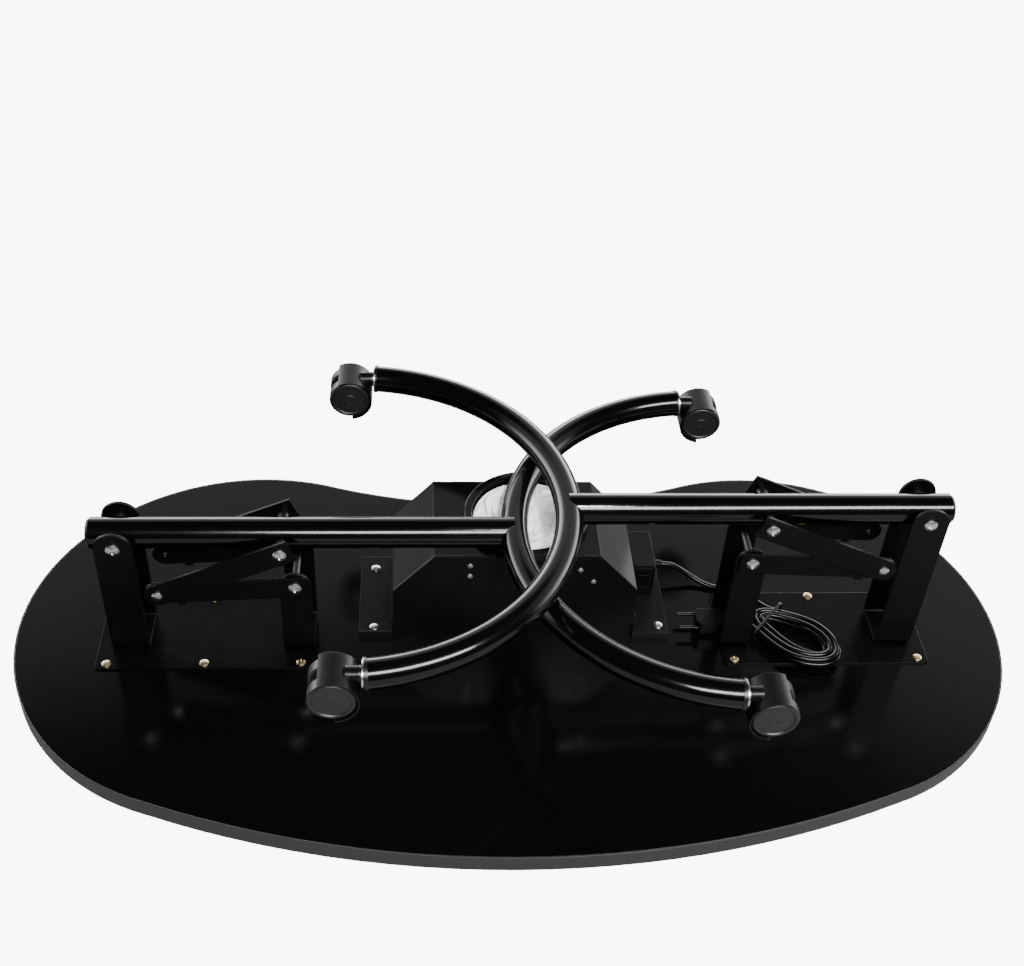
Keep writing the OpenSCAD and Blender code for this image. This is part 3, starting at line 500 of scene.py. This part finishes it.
def unit_sack(n=GRID):
    """Points and faces of a sack of radius 1 and height 1, with the point numbers of its rim."""
    points, faces = [], []
    for i in range(n + 1):
        for j in range(n + 1):
            u, v = 2 * i / n - 1, 2 * j / n - 1
            points.append((u * math.sqrt(1 - v * v / 2), v * math.sqrt(1 - u * u / 2), 1.0))
    for i in range(n):
        for j in range(n):
            a = i * (n + 1) + j
            faces.append((a, a + n + 1, a + n + 2, a + 1))
    above = ([i * (n + 1) for i in range(n)] + [n * (n + 1) + j for j in range(n)]
             + [(n - i) * (n + 1) + n for i in range(n)] + [n - j for j in range(n)])
    for row in range(1, WALL_ROWS + 1):
        below = list(range(len(points), len(points) + len(above)))
        points += [(*points[k][:2], 1 - row / WALL_ROWS) for k in above]
        for k in range(len(above)):
            b = (k + 1) % len(above)
            faces.append((above[k], below[k], below[b], above[b]))
        above = below
    return points, faces, above


print("sack", len(unit_sack()[0]), "points")

# %% [markdown]
# Cloth that starts perfectly even folds perfectly even. A small noise on the starting shape
# decides where the creases come, and gives the same ones each time.

# %% Shaken sack
NOISE_SCALE, NOISE_START = 40, 3
SWELL, TUCK, LIFT = 0.03, 0.02, 0.004


def sack_mesh():
    """The sack at its size, slightly uneven, with the point numbers of its rim."""
    points, faces, rim = unit_sack()
    shaken = []
    for x, y, z in points:
        x, y, z = x * BAG_RADIUS, y * BAG_RADIUS, z * SACK_HEIGHT
        at = Vector((NOISE_SCALE * x, NOISE_SCALE * y, NOISE_SCALE * z + NOISE_START))
        shake = noise.noise(at) if z else 0
        wide = 1 + SWELL * shake - TUCK * (z > 0)
        shaken.append((x * wide, y * wide, z + LIFT * shake))
    mesh = bpy.data.meshes.new("sack")
    mesh.from_pydata(shaken, [], faces)
    mesh.update()
    return mesh, rim


print(sack_mesh.__doc__)

# %% [markdown]
# The cloth meets three hard things: the roof below, the ring round it, and the lid that comes
# down. They are plain meshes that exist only during the simulation.

# %% Hard things
RING_INNER, RING_OUTER, RING_HEIGHT = 0.0541, 0.0622, 0.0092
CHAMFER_ACROSS, CHAMFER_DOWN, RING_BELOW = 0.0007, 0.0004, 0.001
RING_SIDES, INNER_THICKNESS = 96, 0.003
SHEET_HALF, SHEET_THICKNESS, RING_THICKNESS = 0.2, 0.0006, 0.0004


def collider(name, points, faces, outer):
    """A mesh object that cloth can't pass, with its skin's thickness."""
    mesh = bpy.data.meshes.new(name)
    mesh.from_pydata(points, [], faces)
    mesh.update()
    obj = bpy.data.objects.new(name, mesh)
    bpy.context.collection.objects.link(obj)
    obj.modifiers.new("collision", "COLLISION")
    obj.collision.thickness_outer = outer
    obj.collision.thickness_inner = INNER_THICKNESS
    return obj


def flat_collider(name, face):
    """A square sheet. The order of its face says which side pushes."""
    h = SHEET_HALF
    return collider(name, [(-h, -h, 0), (h, -h, 0), (h, h, 0), (-h, h, 0)], [face], SHEET_THICKNESS)


def ring_collider():
    """The ring of the model again, as a section turned round the middle."""
    shoulder = RING_HEIGHT - CHAMFER_DOWN
    section = [(RING_INNER, -RING_BELOW), (RING_INNER, shoulder),
               (RING_INNER + CHAMFER_ACROSS, RING_HEIGHT), (RING_OUTER - CHAMFER_ACROSS, RING_HEIGHT),
               (RING_OUTER, shoulder), (RING_OUTER, -RING_BELOW)]
    m, sides = len(section), RING_SIDES
    points = [(r * math.cos(2 * math.pi * j / sides), r * math.sin(2 * math.pi * j / sides), z)
              for j in range(sides) for r, z in section]
    faces = [(j * m + k, j * m + (k + 1) % m, (j + 1) % sides * m + (k + 1) % m, (j + 1) % sides * m + k)
             for j in range(sides) for k in range(m)]
    return collider("ring", points, faces, RING_THICKNESS)


print("ring", RING_INNER, "to", RING_OUTER, "m")

# %% [markdown]
# The rim is pinned. The cloth collides with itself, the roof, the ring and the lid. The lid
# falls for most of the frames and then rests, so that the cloth comes to a stop.

# %% Press the sack
FRAMES, RESTING, LID_START, QUICK_SPARE = 56, 16, SACK_HEIGHT + 0.012, 0.005
CLOTH = {"quality": 8, "mass": 0.06, "tension_stiffness": 18, "compression_stiffness": 18,
         "shear_stiffness": 8, "bending_stiffness": 0.008, "air_damping": 2, "vertex_group_mass": "rim"}
CONTACT = {"collision_quality": 3, "distance_min": 0.0008, "use_self_collision": True,
           "self_distance_min": 0.0008}


def pressed_sack():
    """The cloth after the lid has come down, as a mesh."""
    mesh, rim = sack_mesh()
    sack = bpy.data.objects.new("sack", mesh)
    bpy.context.collection.objects.link(sack)
    sack.vertex_groups.new(name="rim").add(rim, 1, "REPLACE")
    roof = flat_collider("roof", (0, 1, 2, 3))
    roof.location.z = -SHEET_THICKNESS
    lid = flat_collider("lid", (0, 3, 2, 1))
    for number, height in ((1, LID_START), (FRAMES - RESTING, PRESSED)):
        lid.location.z = height
        lid.keyframe_insert("location", frame=number)
    ring = ring_collider()
    cloth = sack.modifiers.new("cloth", "CLOTH")
    for name, value in CLOTH.items():
        setattr(cloth.settings, name, value)
    for name, value in CONTACT.items():
        setattr(cloth.collision_settings, name, value)
    cloth.point_cache.frame_end = FRAMES
    for number in range(1, FRAMES + 1):
        bpy.context.scene.frame_set(number)
    ready = sack.evaluated_get(bpy.context.evaluated_depsgraph_get())
    shape = bpy.data.meshes.new_from_object(ready)
    for obj in (sack, roof, lid, ring):
        bpy.data.objects.remove(obj)
    bpy.context.scene.frame_set(1)
    return shape


shape = pressed_sack()
heights = [v.co.z for v in shape.vertices]
print("bag", len(shape.polygons), "faces, height", round(min(heights), 4), "to", round(max(heights), 4))

# %% [markdown]
# The cloth was pressed round the origin, and now moves to its place on the roof. More points in
# the sack would make softer creases and a slower simulation, so one level of subdivision rounds
# them afterwards.

# %% Bag in its ring
ABOVE_ROOF = 0.0003
ring_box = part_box("bag_ring")
middle = (ring_box[0] + ring_box[1]) / 2
for v in shape.vertices:
    v.co += Vector((middle.x, middle.y, ring_box[0].z + ABOVE_ROOF))
shape.polygons.foreach_set("use_smooth", [True] * len(shape.polygons))
shape.name = "dust_bag_cloth"
bag = bpy.data.objects.new("slack_bag", shape)
bpy.context.collection.objects.link(bag)
bag.data.materials.append(finish("bag_cloth", (0.93, 0.93, 0.94), 0.85, spread=0.08, grain=1600,
                                 bump=0.00006, edge=0.0002, sheen=0.2, tint=0.04))
rounder = bag.modifiers.new("rounder", "SUBSURF")
rounder.levels = rounder.render_levels = 1
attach(bag, "table")
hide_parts("dust_bag")

# %% [markdown]
# ## The floor
# The picture's ground is nearly pure white and the table nearly pure black. To the camera the
# floor glows, and to everything else it is a plain grey floor, because a white floor would
# brighten every tube from below.

# %% Floor
FLOOR_GLOW, FLOOR_GREY, FLOOR_HALF, BELOW_TABLE = 9.0, 0.28, 8, 0.0005
corners = [(-FLOOR_HALF, -FLOOR_HALF, 0), (FLOOR_HALF, -FLOOR_HALF, 0),
           (FLOOR_HALF, FLOOR_HALF, 0), (-FLOOR_HALF, FLOOR_HALF, 0)]
floor_mesh = bpy.data.meshes.new("floor")
floor_mesh.from_pydata(corners, [], [(0, 1, 2, 3)])
floor = bpy.data.objects.new("floor", floor_mesh)
floor.location.z = -BELOW_TABLE
bpy.context.collection.objects.link(floor)
white = bpy.data.materials.new("floor")
white.use_nodes = True
tree = white.node_tree
tree.nodes.clear()
seen, glow, grey, both, out = [tree.nodes.new("ShaderNode" + kind) for kind in
                               ("LightPath", "Emission", "BsdfDiffuse", "MixShader", "OutputMaterial")]
glow.inputs["Color"].default_value = (1, 1, 1, 1)
glow.inputs["Strength"].default_value = FLOOR_GLOW
grey.inputs["Color"].default_value = (FLOOR_GREY, FLOOR_GREY, FLOOR_GREY, 1)
tree.links.new(seen.outputs["Is Camera Ray"], both.inputs["Fac"])
tree.links.new(grey.outputs["BSDF"], both.inputs[1])
tree.links.new(glow.outputs["Emission"], both.inputs[2])
tree.links.new(both.outputs["Shader"], out.inputs["Surface"])
floor.data.materials.append(white)
print("floor", 2 * FLOOR_HALF, "m wide")

# %% [markdown]
# ## The lamps
# Glossy black shows only what it mirrors. One long soft box behind the camera draws the bright
# line along each tube. A narrow lamp brings out the white bag between the dark feet.

# %% Lamps
def lamp(light, place, aim):
    """Hang a light at a place and turn it to what it should light."""
    obj = bpy.data.objects.new(light.name, light)
    obj.location = place
    obj.rotation_euler = (Vector(aim) - Vector(place)).to_track_quat("-Z", "Y").to_euler()
    bpy.context.collection.objects.link(obj)


SOFT_BOX_SIZE, SOFT_BOX_WATTS = (2.6, 0.65), 200
SOFT_BOX_PLACE, SOFT_BOX_AIM = (0.7, -1.75, 2.1), (0.1, 0, 0.15)
BAG_LAMP_WATTS, BAG_LAMP_ANGLE, BAG_LAMP_BLEND, BAG_LAMP_RADIUS = 230, 4.6, 0.4, 0.04
BAG_LAMP_PLACE, BAG_HEIGHT = (0.3, -1.2, 2.2), 0.13
soft_box = bpy.data.lights.new("soft box", "AREA")
soft_box.shape = "RECTANGLE"
soft_box.size, soft_box.size_y = SOFT_BOX_SIZE
soft_box.energy = SOFT_BOX_WATTS
lamp(soft_box, SOFT_BOX_PLACE, SOFT_BOX_AIM)
bag_lamp = bpy.data.lights.new("bag lamp", "SPOT")
bag_lamp.energy, bag_lamp.spot_size = BAG_LAMP_WATTS, math.radians(BAG_LAMP_ANGLE)
bag_lamp.spot_blend, bag_lamp.shadow_soft_size = BAG_LAMP_BLEND, BAG_LAMP_RADIUS
lamp(bag_lamp, BAG_LAMP_PLACE, (middle.x, middle.y, BAG_HEIGHT))

# %% [markdown]
# ## The backdrop
# A bright backdrop behind the table, strongest near the horizon, greys the rear of the laminate
# and the sloping sides of the collector. It ends below the height that the front of the worktop
# mirrors, so the front stays black. A white sheet could hang there, but it would stand in the way
# of the views from behind. A band in the world's directions is only seen in reflections, and the
# camera itself sees plain white.

# %% Backdrop
SKY_FILL, HORIZON_GLOW = 0.03, 9.0
BACKDROP = ((0.0, 1.0), (0.2, 0.9), (0.45, 0.115), (0.70, 0.09), (0.755, 0.0))
BEHIND_FROM, BEHIND_TO = -0.1, 0.3
sky = bpy.data.worlds.new("studio")
bpy.context.scene.world = sky
sky.use_nodes = True
tree = sky.node_tree
tree.nodes.clear()
kinds = ("LightPath", "TexCoord", "SeparateXYZ", "ValToRGB", "MapRange", "Math", "MapRange", "Mix",
         "Background", "OutputWorld")
seen, direction, parts, height, behind, both, band, level, shown, out = [
    tree.nodes.new("ShaderNode" + kind) for kind in kinds]
behind.inputs["From Min"].default_value = BEHIND_FROM
behind.inputs["From Max"].default_value = BEHIND_TO
steps = height.color_ramp.elements
while len(steps) < len(BACKDROP):
    steps.new(0.5)
for step, (position, value) in zip(steps, BACKDROP):
    step.position = position
    step.color = (value, value, value, 1)
both.operation = "MULTIPLY"
band.inputs["To Min"].default_value = SKY_FILL
band.inputs["To Max"].default_value = HORIZON_GLOW
level.data_type = "FLOAT"
level.inputs["B"].default_value = FLOOR_GLOW
shown.inputs["Color"].default_value = (1, 1, 1, 1)
for start, end in ((direction.outputs["Generated"], parts.inputs[0]),
                   (parts.outputs[2], height.inputs["Fac"]), (parts.outputs[1], behind.inputs["Value"]),
                   (height.outputs["Color"], both.inputs[0]), (behind.outputs["Result"], both.inputs[1]),
                   (both.outputs["Value"], band.inputs["Value"]), (band.outputs["Result"], level.inputs["A"]),
                   (seen.outputs["Is Camera Ray"], level.inputs["Factor"]),
                   (level.outputs["Result"], shown.inputs["Strength"]),
                   (shown.outputs["Background"], out.inputs["Surface"])):
    tree.links.new(start, end)
print("backdrop", len(steps), "steps, horizon", HORIZON_GLOW)

# %% [markdown]
# ## Finish
# The cloth and the cord have to stay in the space that the solids gave them.
